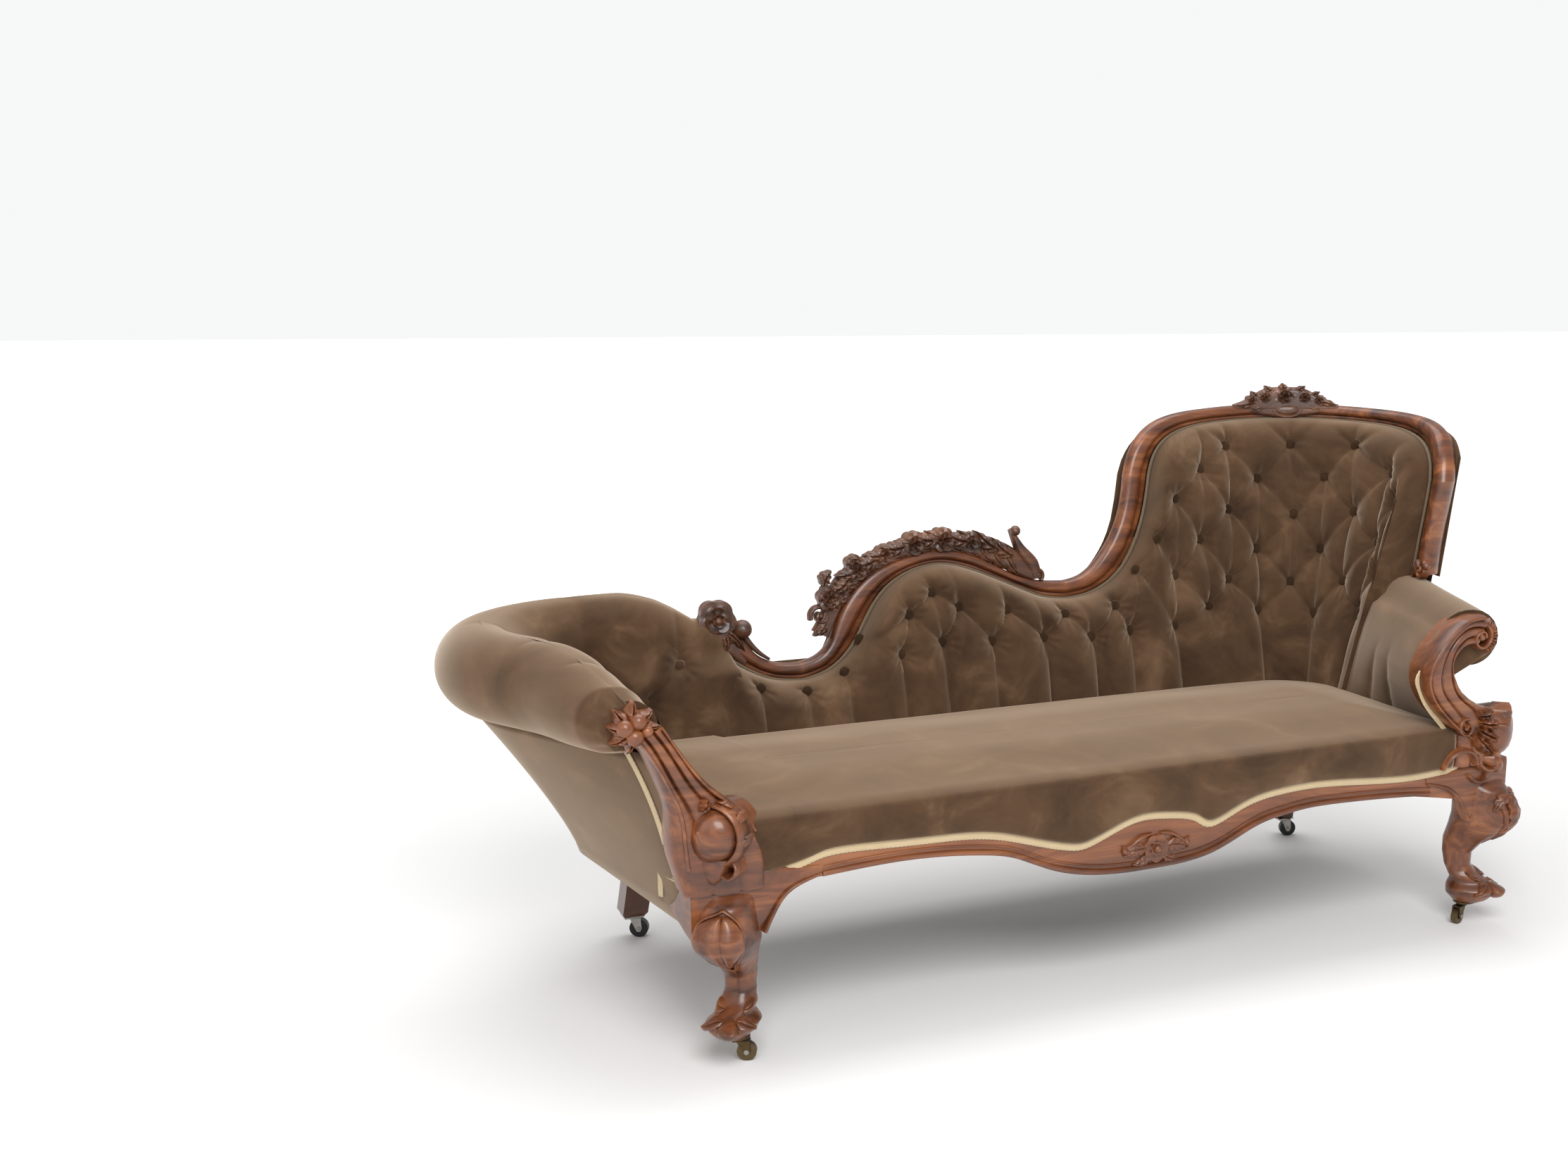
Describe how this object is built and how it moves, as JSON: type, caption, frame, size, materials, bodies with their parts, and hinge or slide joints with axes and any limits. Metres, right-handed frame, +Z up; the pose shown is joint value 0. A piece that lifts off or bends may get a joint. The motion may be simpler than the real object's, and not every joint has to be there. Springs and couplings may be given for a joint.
{
  "type": "fainting couch",
  "caption": "Victorian fainting couch with a carved walnut show frame, deep tufted velvet back, rolled left end, cabriole front legs and castors",
  "frame": {"origin": "on the floor, under the middle of the couch's length and depth", "axes": "+X runs along the couch to the sitter's left, towards the high back; +Y runs to the back; +Z is up"},
  "size_m": [1.9122, 0.7383, 0.9727],
  "materials": {
    "velvet": "napped cotton velvet, taupe brown",
    "walnut": "French polished carved walnut",
    "hidden_beech": "bare sawn hardwood",
    "canvas": "coarse canvas",
    "jute_webbing": "jute webbing",
    "bottom_cloth": "black cotton cloth",
    "braid": "woven braid and cord",
    "spring_steel": "lacquered wire",
    "screw_steel": "plain steel",
    "bronze": "aged bronze",
    "nickel_steel": "dull plate",
    "brass_wheel": "worn brass",
    "black_wheel": "black composition wheel"
  },
  "bodies": {
    "couch": {"front_rail": "walnut", "front_rail_cartouche": "walnut", "rear_rail": "hidden_beech", "corner_rail": "hidden_beech", "left_end_rail": "hidden_beech", "right_end_rail": "hidden_beech", "seat_stretchers": "hidden_beech", "corner_blocks": "hidden_beech", "corner_block_screws": "screw_steel", "front_left_leg": "walnut", "front_right_leg": "walnut", "rear_left_leg": "walnut", "rear_right_leg": "walnut", "left_arm_support": "walnut", "right_arm_support": "walnut", "back_rail_left": "walnut", "back_rail_hump": "walnut", "back_stile_left": "walnut", "back_crest_rail": "walnut", "back_stile_right": "walnut", "back_hump_carving": "walnut", "crest_carving": "walnut", "back_left_carving": "walnut", "back_posts": "hidden_beech", "left_end_ribs": "hidden_beech", "left_arm_core": "hidden_beech", "right_arm_core": "hidden_beech", "seat_pad": "velvet", "back_pad": "velvet", "back_canvas": "canvas", "back_buttons": "velvet", "left_end_pad": "velvet", "left_arm_roll": "velvet", "right_arm_pad": "velvet", "right_arm_roll": "velvet", "outside_back_cover": "velvet", "outside_left_cover": "velvet", "outside_right_cover": "velvet", "bottom_cloth": "bottom_cloth", "seat_webbing": "jute_webbing", "seat_springs": "spring_steel", "spring_canvas": "canvas", "front_gimp": "braid", "arm_gimps": "braid", "back_piping": "braid", "front_castor_plates": "bronze", "rear_castor_plates": "nickel_steel", "castor_screws": "screw_steel"},
    "front_left_swivel": {"front_left_castor_fork": "bronze", "front_left_castor_axle": "screw_steel"},
    "front_left_wheel": {"front_left_castor_wheel": "brass_wheel"},
    "front_right_swivel": {"front_right_castor_fork": "bronze", "front_right_castor_axle": "screw_steel"},
    "front_right_wheel": {"front_right_castor_wheel": "brass_wheel"},
    "rear_left_swivel": {"rear_left_castor_fork": "nickel_steel", "rear_left_castor_axle": "screw_steel"},
    "rear_left_wheel": {"rear_left_castor_wheel": "black_wheel"},
    "rear_right_swivel": {"rear_right_castor_fork": "nickel_steel", "rear_right_castor_axle": "screw_steel"},
    "rear_right_wheel": {"rear_right_castor_wheel": "black_wheel"}
  },
  "joints": [
    {"name": "front_left_swivel_turn", "type": "hinge", "parent": "couch", "child": "front_left_swivel", "pos_m": [-0.6, -0.279, 0.036], "axis": [0, 0, 1], "continuous": true},
    {"name": "front_left_wheel_roll", "type": "hinge", "parent": "front_left_swivel", "child": "front_left_wheel", "pos_m": [-0.58912, -0.28407, 0.015], "axis": [0.4226, 0.9063, 0], "continuous": true},
    {"name": "front_right_swivel_turn", "type": "hinge", "parent": "couch", "child": "front_right_swivel", "pos_m": [0.81, -0.279, 0.036], "axis": [0, 0, 1], "continuous": true},
    {"name": "front_right_wheel_roll", "type": "hinge", "parent": "front_right_swivel", "child": "front_right_wheel", "pos_m": [0.79887, -0.28349, 0.015], "axis": [0.3746, -0.9272, 0], "continuous": true},
    {"name": "rear_left_swivel_turn", "type": "hinge", "parent": "couch", "child": "rear_left_swivel", "pos_m": [-0.615, 0.311, 0.036], "axis": [0, 0, 1], "continuous": true},
    {"name": "rear_left_wheel_roll", "type": "hinge", "parent": "rear_left_swivel", "child": "rear_left_wheel", "pos_m": [-0.60412, 0.30593, 0.017], "axis": [0.4226, 0.9063, 0], "continuous": true},
    {"name": "rear_right_swivel_turn", "type": "hinge", "parent": "couch", "child": "rear_right_swivel", "pos_m": [0.825, 0.311, 0.036], "axis": [0, 0, 1], "continuous": true},
    {"name": "rear_right_wheel_roll", "type": "hinge", "parent": "rear_right_swivel", "child": "rear_right_wheel", "pos_m": [0.83628, 0.3069, 0.017], "axis": [0.342, 0.9397, 0], "continuous": true}
  ]
}
